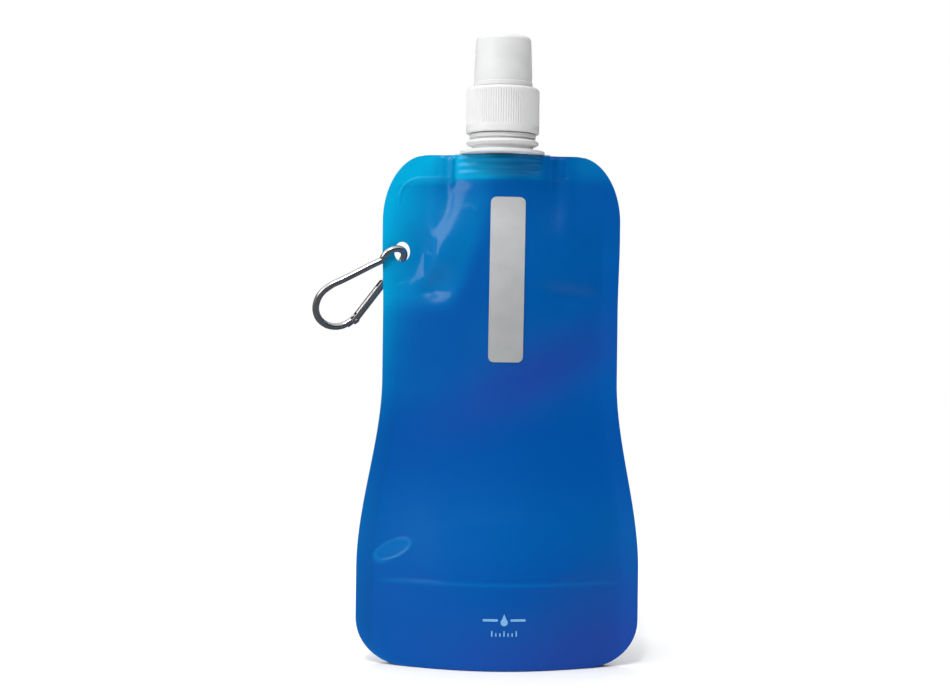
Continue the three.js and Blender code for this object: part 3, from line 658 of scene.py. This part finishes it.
def film_tint(x, z, front):
    """Masks for the film's colour: the clear thin edge with painted light, a painted purple reflection, and weld
    spots.
    """
    inset = np.clip(half_width(z) - np.abs(x), 0, None)
    left = smoothstep(-x, -12, 40)
    high = smoothstep(z, 92, 185)
    edge = np.exp(-((inset / (4.0 + 5.0 * high)) ** 1.3))
    # Partly the real clear welded edge, partly painted light: the edge is drawn bright only on the left and more so
    # towards the top, and the upper-left corner and the left of the top seal are drawn lit.
    clear_edge_and_painted_light = edge * left * (0.08 + 0.62 * high)
    clear_edge_and_painted_light = clear_edge_and_painted_light + 0.34 * left * smoothstep(z, 168, 214) * smoothstep(-x, 12, 46)
    clear_edge_and_painted_light = clear_edge_and_painted_light + (0.03 + 0.42 * left) * smoothstep(z, 203, 207)
    # Painted light over the weld base, brighter on the left, which also lifts the flange's shadow there.
    painted_light_over_base = smoothstep(z, 205.5, 207) * (1 - smoothstep(x, 13, 21)) * smoothstep(x, -21, -19.5)
    clear_edge_and_painted_light = clear_edge_and_painted_light + painted_light_over_base * (0.2 + 0.3 * (1 - smoothstep(x, -8, 10)))
    # Painted light along the upper-right corner.
    clear_edge_and_painted_light = clear_edge_and_painted_light + 0.16 * smoothstep(z, 203, 213) * smoothstep(x, 22, 36)
    # Painted highlight: a thin light line along the gusset crease.
    clear_edge_and_painted_light = clear_edge_and_painted_light + 0.09 * np.exp(-(((z - 35.5) / 0.7) ** 2)) * smoothstep(-np.abs(x), -54, -46)
    # Painted light: a lighter zone right of a diagonal below the spout, and a faint light band low down.
    pillow = np.interp(z, [150, 155.6, 164, 184, 200, 206], [-21, -19.5, -15.4, -8.5, -5.5, -5]) - x
    clear_edge_and_painted_light = clear_edge_and_painted_light + 0.2 * smoothstep(z, 147, 158) * smoothstep(pillow, -4.5, 4.5) * (1 - 0.5 * smoothstep(z, 195, 204))
    clear_edge_and_painted_light = clear_edge_and_painted_light + 0.05 * np.exp(-(((z - 58) / 20) ** 2))
    # Painted reflection: purple patches mid-right, lower right and along the bottom; fainter on the back film.
    painted_purple_reflection = 0.95 * np.exp(-(np.hypot((x - 16) / 36, (z - 124 - 0.45 * (x - 16)) / 15) ** 2.4))
    painted_purple_reflection = painted_purple_reflection + 0.8 * np.exp(-(((x - 48) / 32) ** 2 + ((z - 13) / 25) ** 2))
    painted_purple_reflection = painted_purple_reflection + 0.55 * (1 - smoothstep(z, 2, 24)) * smoothstep(x, -50, 0)
    spot = oval_spot(x, z)
    weld = 0.2 * (1 - smoothstep(spot, -0.6, 0.6)) + 0.3 * np.exp(-((spot / 0.5) ** 2))
    if not front:
        painted_purple_reflection = painted_purple_reflection * 0.3
        # Back film: partly the real clear edge and top seal, partly painted light, drawn brighter towards the top.
        clear_edge_and_painted_light = edge * 0.5 * (0.3 + 0.7 * high) + 0.4 * smoothstep(z, 203, 207)
        weld = weld + 0.55 * (1 - smoothstep(oval_spot(-x, z), -0.6, 0.6))
    return np.clip(clear_edge_and_painted_light, 0, 1), np.clip(painted_purple_reflection, 0, 1), np.clip(weld, 0, 1)


def graded(low, high, step, marks, fine, reach):
    """Positions from low to high, step apart, and closer together near the marks."""
    out = [low]
    while out[-1] < high - 1e-6:
        near = min(abs(out[-1] - m) for m in marks)
        out.append(out[-1] + (fine if near < reach else step))
    scale = (high - low) / (out[-1] - low)
    return [low + (v - low) * scale for v in out]


# Heights with fine detail: the weld base and its ribs, the dent, the oval weld and the gusset's crease.
DETAIL_HEIGHTS = [208.7, 211.7, 214.7, 206.5, 201, 195, 190, 162, 157, 51.5, 48.6, 45.7, 35.2]
ROWS = graded(0, HEIGHT, 1.8, DETAIL_HEIGHTS, 0.55, 3.0)
COLUMNS = {-1: 172, 1: 110}


def film_mesh(name, side, relief, material):
    """One film as a thin closed sheet: side -1 is the front, 1 the back."""
    z = np.array(ROWS)
    t = np.linspace(-1, 1, COLUMNS[side] + 1)
    place = 0.55 * t + 0.45 * np.sin(t * math.pi / 2)
    zz, tt = np.meshgrid(z, place, indexing="ij")
    width = half_width(zz)
    xx = tt * width
    depth = half_depth(xx, zz) + relief(xx, zz)
    # The two films meet along the seals.
    inner = np.maximum(depth - FILM - 0.16 * (1 - smoothstep(depth, 0.5, 1.5)), 0)
    outer_points = np.stack([xx, side * depth, zz], -1).reshape(-1, 3)
    inner_points = np.stack([xx, side * inner, zz], -1).reshape(-1, 3)
    rows, columns = len(z), len(t)
    n = rows * columns
    faces = []
    for i in range(rows - 1):
        for j in range(columns - 1):
            a = i * columns + j
            faces.append([a, a + 1, a + 1 + columns, a + columns])
            faces.append([n + a + columns, n + a + 1 + columns, n + a + 1, n + a])
    rim = list(range(columns))
    rim += [i * columns + columns - 1 for i in range(1, rows)]
    rim += [(rows - 1) * columns + j for j in range(columns - 2, -1, -1)]
    rim += [i * columns for i in range(rows - 2, 0, -1)]
    for k, a in enumerate(rim):
        b = rim[(k + 1) % len(rim)]
        faces.append([b, a, n + a, n + b])
    obj = add_object(name, np.vstack([outer_points, inner_points]), faces, material, sharp=60)
    punch_eyelet(obj)
    paint_film(obj, side < 0)
    return obj


def punch_eyelet(obj):
    """Cuts the oval hole that the carabiner goes through."""
    ring = []
    for y in (-6, 6):
        ring.append([
            (EYELET[0] + EYELET_HALF[0] * math.cos(a), y, EYELET[1] + EYELET_HALF[1] * math.sin(a))
            for a in np.linspace(0, 2 * math.pi, 64, endpoint=False)
        ])
    cutter = add_object("cutter", *loft_mesh(ring), obj.data.materials[0])
    hole = obj.modifiers.new("hole", "BOOLEAN")
    hole.operation = "DIFFERENCE"
    hole.object = cutter
    hole.solver = "EXACT"
    apply_modifiers(obj)
    bpy.data.objects.remove(cutter)
    finish_shading(obj, 60)


def apply_modifiers(obj):
    depsgraph = bpy.context.evaluated_depsgraph_get()
    mesh = bpy.data.meshes.new_from_object(obj.evaluated_get(depsgraph))
    old = obj.data
    obj.modifiers.clear()
    obj.data = mesh
    bpy.data.meshes.remove(old)


def flat_uv(obj):
    """Lays the piece's flat pattern out as UVs: 0.25 m of film is one unit."""
    mesh = obj.data
    layer = mesh.uv_layers.get("flat") or mesh.uv_layers.new(name="flat")
    co = np.array([v.co for v in mesh.vertices])
    loops = np.zeros(len(mesh.loops), int)
    mesh.loops.foreach_get("vertex_index", loops)
    uv = np.stack([(co[loops, 0] / MM - AXIS_X) / 250 + 0.5, co[loops, 2] / MM / 250], -1)
    layer.data.foreach_set("uv", uv.ravel())


def paint_film(obj, front):
    mesh = obj.data
    co = np.array([v.co for v in mesh.vertices]) / MM
    clear_edge_and_painted_light, painted_purple_reflection, weld = film_tint(co[:, 0] - AXIS_X, co[:, 2], front)
    layer = mesh.color_attributes.new("tint", "FLOAT_COLOR", "POINT")
    rgba = np.stack([clear_edge_and_painted_light, painted_purple_reflection, weld, np.ones(len(clear_edge_and_painted_light))], -1)
    layer.data.foreach_set("color", rgba.astype(np.float32).ravel())
    flat_uv(obj)


front_film = film_mesh("front_film", -1, front_relief, FILM_FRONT)
back_film = film_mesh("back_film", 1, back_relief, FILM_BACK)
for film, level in ((front_film, "front"), (back_film, "back")):
    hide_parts(level + "_film_upper", level + "_film_lower")
    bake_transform(film)


GUSSET_HALF_WIDTH = 49
GUSSET_HEIGHT = 35.3


def gusset():
    """The bottom film: an arch from the front hem up to its crease and down to the back hem."""
    columns, rows = 90, 48
    grids = []
    for inset in (0.0, FILM):
        points = []
        for i in range(rows + 1):
            t = 2 * i / rows - 1
            rise = math.sqrt(max(0.0, 1 - abs(t) ** 1.6))
            for j in range(columns + 1):
                x = -GUSSET_HALF_WIDTH + 2 * GUSSET_HALF_WIDTH * j / columns
                beyond = max(0.0, abs(x) - (60.1 - CORNER))
                hem = CORNER - math.sqrt(CORNER ** 2 - beyond ** 2)
                reach = float(half_depth(np.array(x), np.array(hem))) - FILM - 0.35
                y = math.copysign(max(0.0, reach * abs(t) ** 0.8 - inset * abs(t)), t)
                ripple = 0.35 * math.sin(x * 0.21 + 1.3) * math.sin(x * 0.083) * (1 - abs(t)) ** 0.5
                points.append((x, y, hem + (GUSSET_HEIGHT - hem - inset + ripple) * rise))
        grids.append(points)
    across = columns + 1
    n = (rows + 1) * across
    faces = []
    for i in range(rows):
        for j in range(columns):
            a = i * across + j
            faces.append([a, a + 1, a + 1 + across, a + across])
            faces.append([n + a + across, n + a + 1 + across, n + a + 1, n + a])
    rim = list(range(across))
    rim += [i * across + columns for i in range(1, rows + 1)]
    rim += [rows * across + j for j in range(columns - 1, -1, -1)]
    rim += [i * across for i in range(rows - 1, 0, -1)]
    for k, a in enumerate(rim):
        b = rim[(k + 1) % len(rim)]
        faces.append([b, a, n + a, n + b])
    obj = add_object("gusset", grids[0] + grids[1], faces, FILM_GUSSET, sharp=60)
    paint_film(obj, False)
    return obj


bottom_film = gusset()
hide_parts("gusset_film")
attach(bottom_film, "pouch_lower")


def rounded_rectangle(cx, cz, width, height, corner, steps=8):
    out = []
    for sx, sz, start in ((1, 1, 0), (-1, 1, 90), (-1, -1, 180), (1, -1, 270)):
        for k in range(steps + 1):
            a = math.radians(start + 90 * k / steps)
            out.append((
                cx + sx * (width / 2 - corner) + corner * math.cos(a),
                cz + sz * (height / 2 - corner) + corner * math.sin(a),
            ))
    return out


STRIP_Z = 163.6


def write_on_strip():
    """A printed strip that follows the front film, 0.25 mm thick."""
    width, height, corner = 14.7, 69.9, 2.4
    turn = [math.radians(90 * k / 8) for k in range(8)]
    ends = [height / 2 - corner + corner * math.cos(a) for a in turn]
    middle = np.linspace(height / 2 - corner, -height / 2 + corner, 61).tolist()
    heights = ends + middle + [-v for v in ends[::-1]]
    columns, rows = 16, len(heights) - 1
    points = []
    for stand in (0.38, 0.12):
        for up in heights:
            z = STRIP_Z + up
            past = min(1.0, max(0.0, (abs(up) - height / 2 + corner) / corner))
            half = width / 2 - corner * (1 - math.sqrt(1 - past * past))
            for j in range(columns + 1):
                x = 2.6 + 0.006 * up + half * (2 * j / columns - 1)
                points.append((x, float(front_y(np.array(x), np.array(z))) - stand, z))
    across = columns + 1
    n = (rows + 1) * across
    faces = []
    for i in range(rows):
        for j in range(columns):
            a = i * across + j
            faces.append([a, a + 1, a + 1 + across, a + across])
            faces.append([n + a + across, n + a + 1 + across, n + a + 1, n + a])
    rim = list(range(across))
    rim += [i * across + columns for i in range(1, rows + 1)]
    rim += [rows * across + j for j in range(columns - 1, -1, -1)]
    rim += [i * across for i in range(rows - 1, 0, -1)]
    for k, a in enumerate(rim):
        b = rim[(k + 1) % len(rim)]
        faces.append([b, a, n + a, n + b])
    obj = add_object("strip", points, faces, STRIP_INK, sharp=50)
    flat_uv(obj)
    return obj


strip = write_on_strip()
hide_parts("write_on_strip")
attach(strip, "pouch_upper")


def print_marks():
    """Generic print near the bottom: a droplet between two bars, and a short scale below."""
    shapes = []
    droplet = []
    for k in range(28):
        a = math.radians(-230 + 280 * k / 27)
        droplet.append((3.2 + 1.5 * math.cos(a), 20.3 + 1.5 * math.sin(a)))
    droplet.append((3.2, 23.8))
    shapes.append(droplet)
    for cx in (-2.6, 9.0):
        shapes.append(rounded_rectangle(cx, 21.2, 6.4, 1.0, 0.45, 4))
    for k in range(7):
        tall = 2.4 if k % 3 == 0 else 1.5
        shapes.append(rounded_rectangle(-1.9 + 1.7 * k, 15.6 + tall / 2 - 1.2, 0.55, tall, 0.2, 3))
    work = bmesh.new()
    for outline in shapes:
        verts = [work.verts.new((x, z, 0)) for x, z in outline]
        work.faces.new(verts)
    bmesh.ops.triangulate(work, faces=work.faces)
    for v in work.verts:
        x, z = v.co.x, v.co.y
        y = float(front_y(np.array(x), np.array(z))) - 0.1
        v.co = ((x + AXIS_X) * MM, y * MM, z * MM)
    mesh = bpy.data.meshes.new("print_marks")
    work.to_mesh(mesh)
    work.free()
    obj = bpy.data.objects.new("print_marks", mesh)
    scene.collection.objects.link(obj)
    mesh.materials.append(PRINT_INK)
    return obj


marks = print_marks()
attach(marks, "pouch_lower")


# ---- Spout, cap, nozzle and overcap ----

def boat_outline(half, length=20.4, n=24):
    radius = (length ** 2 + half ** 2) / (2 * half)
    sweep = math.asin(length / radius)
    out = []
    for sign in (1, -1):
        for k in range(n):
            a = -sweep + 2 * sweep * k / n
            out.append((-sign * radius * math.sin(a), sign * (radius * math.cos(a) - radius + half)))
    return out


def thread(radius, out, start, depth=1.2, turns=2, pitch=3.2, steps=60):
    rings = []
    total = turns * steps
    for i in range(total + 1):
        full = min(1.0, max(0.15, min(i, total - i) / (steps / 4)))
        foot, top = radius - out * 0.3, radius + out * depth * full
        z = start + i / steps * pitch
        a = i / steps * 2 * math.pi
        section = [(foot, z - 0.65), (top, z - 0.3), (top, z + 0.3), (foot, z + 0.65)]
        rings.append([(r * math.cos(a), r * math.sin(a), h) for r, h in section])
    return loft_mesh(rings)


def spout():
    base = [[(x, y, z) for x, y in boat_outline(half, length)] for z, half, length in (
        (206.0, 6.2, 20.1), (206.3, 6.5, 20.4), (216.9, 6.5, 20.4), (217.2, 6.5, 20.4),
    )]
    parts = [loft_mesh(base)]
    for z in (208.7, 211.7, 214.7):
        rib = [(z - 0.6, 6.6, 20.5), (z - 0.35, 7.0, 20.9), (z + 0.35, 7.0, 20.9), (z + 0.6, 6.6, 20.5)]
        parts.append(loft_mesh([[(x, y, h) for x, y in boat_outline(half, length)] for h, half, length in rib]))
    wing = rounded_rectangle(0, 210.9, 52.8, 8.8, 1.2, 4)
    parts.append(loft_mesh([[(x, y, z) for x, z in wing] for y in (-0.6, 0.6)]))
    outer = [
        (10.3, 216.9), (18, 216.9), (18, 218.3), (13, 218.3), (13, 220.5), (14.6, 220.7), (15.4, 221.4),
        (15.4, 222.1), (14.6, 222.8), (13, 223), (13, 223.6), (14.15, 223.8), (14.15, 225.4), (12.3, 225.6),
        (12.3, 241.8), (11.8, 242.3), (10.6, 242.3), (10.3, 242.0),
    ]
    profile = rounded(outer, 0.35, 4)
    profile.append(profile[0])
    parts.append(lathe_mesh(profile, 144))
    parts.append(thread(12.3, 1, 228.6))
    points, faces = merged(parts)
    return add_object("spout_fitment", points, faces, WHITE)


spout_piece = spout()
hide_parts("spout")
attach(spout_piece, "pouch_upper")

RIBS = 90


def collar_ribs(angle, r, z):
    """Fine upright ribs: rounded ridges with sharp valleys, on the outside wall only."""
    if r < 15.0 or z < 228.9 or z > 244.6:
        return 0.0
    strength = min(1.0, (z - 228.9) / 0.5) * (1.0 if z < 243.2 else max(0.0, 1 - (z - 243.2) / 1.2))
    phase = (angle * RIBS / (2 * math.pi)) % 1.0
    return -0.38 * strength * (1 - abs(math.sin(math.pi * phase)) ** 0.8)


def screw_cap():
    outer = [(14.0, 225.7), (15.2, 225.7), (15.55, 226.0), (15.55, 228.6)]
    outer = rounded(outer + [(15.55, 229.0)], 0.2, 3)
    for z in np.linspace(229.0, 243.6, 14):
        outer.append((15.55, float(z)))
    for k in range(1, 9):
        a = math.radians(90 * k / 8)
        outer.append((15.55 - 2.2 * (1 - math.cos(a)), 243.6 + 1.7 * math.sin(a)))
    outer += [(13.0, 245.38), (11.1, 245.4), (11.1, 247.8), (10.9, 248), (10.3, 248), (10.1, 247.8), (10.1, 245.4)]
    outer += [(7.2, 245.4), (7.2, 255.6), (6.9, 256), (5.9, 256), (5.6, 255.7), (5.6, 243.7)]
    outer += [(14.0, 243.7), (14.0, 225.7)]
    parts = [lathe_mesh(outer, RIBS * 8, collar_ribs)]
    post = rounded([
        (0, 243.7), (1.9, 243.7), (1.9, 258.6), (2.75, 259.2), (2.75, 261.3), (2.25, 261.8), (0, 261.8),
    ], 0.2, 3)
    parts.append(lathe_mesh(post, 48))
    for k in range(3):
        a = k * 2 * math.pi / 3
        ring = []
        for r in (0.0, 6.0):
            ring.append([
                (r * math.cos(a) - s * math.sin(a), r * math.sin(a) + s * math.cos(a), h)
                for s, h in ((-0.6, 243.7), (0.6, 243.7), (0.6, 246.6), (-0.6, 246.6))
            ])
        parts.append(loft_mesh(ring))
    parts.append(thread(14.0, -1, 230.2))
    points, faces = merged(parts)
    return add_object("cap_collar", points, faces, WHITE, sharp=48)


cap_piece = screw_cap()
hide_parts("screw_cap")
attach(cap_piece, "cap")


def turned_piece(name, profile, radius, material, body, node, segments=144):
    ring = rounded(profile, radius, 4)
    ring.append(ring[0])
    piece = add_object(name, *lathe_mesh(ring, segments), material)
    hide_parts(node)
    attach(piece, body)
    return piece


turned_piece("pull_nozzle", [
    (7.5, 246), (9.3, 246), (9.3, 250.6), (10.1, 251.2), (9.95, 259.8), (9.8, 260.8), (9.35, 261.8), (8.4, 262.4),
    (3.05, 262.4), (3.05, 260.4), (7.5, 257.4), (7.5, 246.0),
], 0.4, WHITE, "drinking_nozzle", "nozzle")


def overcap():
    outer = [(11.5, 245.7), (12.5, 245.7), (12.5, 247.3), (12.2, 247.6), (12.36, 250.0)]
    steps = 8
    for k in range(steps + 1):
        a = math.radians(90 * k / steps)
        outer.append((11.75 - 2.0 * (1 - math.cos(a)), 265.1 + 2.0 * math.sin(a)))
    outer += [(0, 267.1), (0, 266.1)]
    for k in range(steps + 1):
        a = math.radians(90 - 90 * k / steps)
        outer.append((10.75 - 1.0 * (1 - math.cos(a)), 265.1 + 1.0 * math.sin(a)))
    outer.append((11.4, 246.0))
    outer.append((11.5, 245.7))
    piece = add_object("frosted_overcap", *lathe_mesh(outer, 144), FROSTED)
    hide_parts("overcap")
    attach(piece, "dust_cover")
    return piece


overcap()


# ---- Carabiner ----

DIP = math.radians(40.5)
TURN = math.radians(38)
U = Vector((-math.cos(DIP), 0, -math.sin(DIP)))
V = Vector((-math.sin(DIP) * math.cos(TURN), -math.sin(TURN), math.cos(DIP) * math.cos(TURN)))
W = U.cross(V)
ORIGIN = Vector((EYELET[0], 0, EYELET[1])) + U * 0.45
PIVOT = (33.7, -11.05)
SLOPE = math.radians(14.9)


def placed(u, v, w=0.0):
    p = ORIGIN + U * u + V * v + W * w
    return (p.x, p.y, p.z)


def along_gate(points):
    """Points given along the gate, x from its pivot to its tip, as points in the bottle's frame."""
    a = math.pi - SLOPE
    return [
        placed(PIVOT[0] + x * math.cos(a) - y * math.sin(a), PIVOT[1] + x * math.sin(a) + y * math.cos(a), z)
        for x, y, z in points
    ]


def catmull(points, steps):
    """A centripetal Catmull-Rom curve through points in a plane."""
    pts = [np.array(p, float) for p in points]
    pts = [2 * pts[0] - pts[1]] + pts + [2 * pts[-1] - pts[-2]]
    out = []
    for p0, p1, p2, p3 in zip(pts, pts[1:], pts[2:], pts[3:]):
        t = [0.0]
        for a, b in ((p0, p1), (p1, p2), (p2, p3)):
            t.append(t[-1] + max(1e-6, np.linalg.norm(b - a) ** 0.5))
        for k in range(steps):
            s = t[1] + (t[2] - t[1]) * k / steps
            a1 = (t[1] - s) / (t[1] - t[0]) * p0 + (s - t[0]) / (t[1] - t[0]) * p1
            a2 = (t[2] - s) / (t[2] - t[1]) * p1 + (s - t[1]) / (t[2] - t[1]) * p2
            a3 = (t[3] - s) / (t[3] - t[2]) * p2 + (s - t[2]) / (t[3] - t[2]) * p3
            b1 = (t[2] - s) / (t[2] - t[0]) * a1 + (s - t[0]) / (t[2] - t[0]) * a2
            b2 = (t[3] - s) / (t[3] - t[1]) * a2 + (s - t[1]) / (t[3] - t[1]) * a3
            out.append((t[2] - s) / (t[2] - t[1]) * b1 + (s - t[1]) / (t[2] - t[1]) * b2)
    out.append(pts[-2])
    return out


WIRE_RADIUS = 1.45


def carabiner_wire():
    hook = [
        (13, -5.6), (8.5, -4.6), (4.4, -3.8), (1.6, -3.3), (-0.3, -1.9), (-0.95, 0.1), (0.1, 2.6), (2.3, 4.1),
        (4.7, 4.5), (6.9, 4.0), (8.4, 3.3), (9.8, 3.7), (13, 4.7), (20, 6.6), (27, 8.6),
    ]
    for k in range(7):
        a = math.radians(105 - 32.5 * k)
        hook.append((34.5 + 10.6 * math.cos(a), -0.2 + 10.6 * math.sin(a)))
    line = catmull(hook, 8)
    rings = []
    for i, p in enumerate(line):
        ahead = line[min(i + 1, len(line) - 1)] - line[max(i - 1, 0)]
        ahead = ahead / np.linalg.norm(ahead)
        normal = (-ahead[1], ahead[0])
        ring = []
        for k in range(24):
            a = 2 * math.pi * k / 24
            across, out = WIRE_RADIUS * math.cos(a), WIRE_RADIUS * math.sin(a)
            ring.append(placed(p[0] + across * normal[0], p[1] + across * normal[1], out))
        rings.append(ring)
    return loft_mesh(rings)


def rod(radius, start, end, n=32, chamfer=0.25):
    """A bevelled rod along the gate's own x."""
    rings = []
    turns = np.linspace(0, 2 * math.pi, n, endpoint=False)
    small = radius - chamfer
    for x, r in ((start, small), (start + chamfer, radius), (end - chamfer, radius), (end, small)):
        rings.append(along_gate([(x, r * math.cos(a), r * math.sin(a)) for a in turns]))
    return loft_mesh(rings)


def block(x0, x1, half_y, half_z):
    """A box from x0 to x1 along the gate."""
    corners = ((-half_y, -half_z), (half_y, -half_z), (half_y, half_z), (-half_y, half_z))
    return loft_mesh([along_gate([(x, y, z) for y, z in corners]) for x in (x0, x1)])


def pivot_disc(radius, half, n=32, chamfer=0.12):
    """A bevelled disc about the gate's pivot."""
    rings = []
    turns = np.linspace(0, 2 * math.pi, n, endpoint=False)
    small = radius - chamfer
    for z, r in ((-half, small), (-half + chamfer, radius), (half - chamfer, radius), (half, small)):
        rings.append(along_gate([(r * math.cos(a), r * math.sin(a), z) for a in turns]))
    return loft_mesh(rings)


def carve(obj, mesh_parts, operation="DIFFERENCE"):
    tool = add_object("cutter", *mesh_parts, obj.data.materials[0])
    modifier = obj.modifiers.new("cut", "BOOLEAN")
    modifier.operation = operation
    modifier.object = tool
    modifier.solver = "EXACT"
    apply_modifiers(obj)
    bpy.data.objects.remove(tool)


def carabiner():
    body = add_object("carabiner_wire", *carabiner_wire(), ALUMINIUM)
    carve(body, rod(2.05, -2.6, 20.7, 32, 0.01))
    carve(body, pivot_disc(2.1, 0.6), "UNION")
    bridge_outline = ((0, -1.2), (4.4, -0.9), (4.4, 1.2), (0, 1.4))
    bridge = loft_mesh([
        [placed(PIVOT[0] + x, PIVOT[1] + y, z) for x, y in bridge_outline] for z in (-0.6, 0.6)
    ])
    carve(body, bridge, "UNION")
    carve(body, block(18.0, 22.4, 0.9, 0.5), "UNION")
    carve(body, pivot_disc(0.9, 2, chamfer=0.01))
    gate = add_object("gate_rod", *rod(1.75, -1.75, 20.4), ALUMINIUM)
    carve(gate, rod(1.15, 0, 12, 24, 0.01))
    carve(gate, block(-3, 2.9, 3.5, 0.9))
    carve(gate, block(17.3, 21.4, 3.5, 0.8))
    carve(gate, pivot_disc(0.9, 3, chamfer=0.01))
    for piece, node, name in ((body, "carabiner_body", "carabiner"), (gate, "carabiner_gate", "gate")):
        finish_shading(piece, 32)
        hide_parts(node)
        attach(piece, name)


carabiner()

for node, material in (("gate_rivet", STEEL), ("gate_plunger", STEEL), ("gate_spring", STEEL), ("cap_seal", SEAL)):
    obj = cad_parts[node]
    for slot_place in obj.material_slots:
        slot_place.material = material


# ---- Floor ----

def floor():
    """A white sweep that fades into the backdrop, and looks dark grey in reflections."""
    n = Nodes("pale_floor")
    seen = n.new("ShaderNodeBsdfDiffuse")
    seen.inputs["Color"].default_value = (0.95, 0.95, 0.95, 1)
    mirrored = n.new("ShaderNodeBsdfDiffuse")
    mirrored.inputs["Color"].default_value = (0.1, 0.1, 0.1, 1)
    which = n.new("ShaderNodeMixShader")
    n.feed(which.inputs[0], n.new("ShaderNodeLightPath").outputs["Is Glossy Ray"])
    n.tree.links.new(seen.outputs[0], which.inputs[1])
    n.tree.links.new(mirrored.outputs[0], which.inputs[2])
    distance = n.new("ShaderNodeVectorMath", operation="LENGTH")
    n.feed(distance.inputs[0], n.coords("Object"))
    faded = n.new("ShaderNodeMixShader")
    n.feed(faded.inputs[0], n.remap(distance.outputs["Value"], 0.35, 0.95, 1.0, 0.0))
    n.tree.links.new(n.new("ShaderNodeBsdfTransparent").outputs[0], faded.inputs[1])
    n.tree.links.new(which.outputs[0], faded.inputs[2])
    mesh = bpy.data.meshes.new("floor")
    mesh.from_pydata([(-1, -1, 0), (1, -1, 0), (1, 1, 0), (-1, 1, 0)], [], [[0, 1, 2, 3]])
    obj = bpy.data.objects.new("floor", mesh)
    obj.location.z = -0.0003
    scene.collection.objects.link(obj)
    mesh.materials.append(n.surface(faded.outputs[0]))


floor()
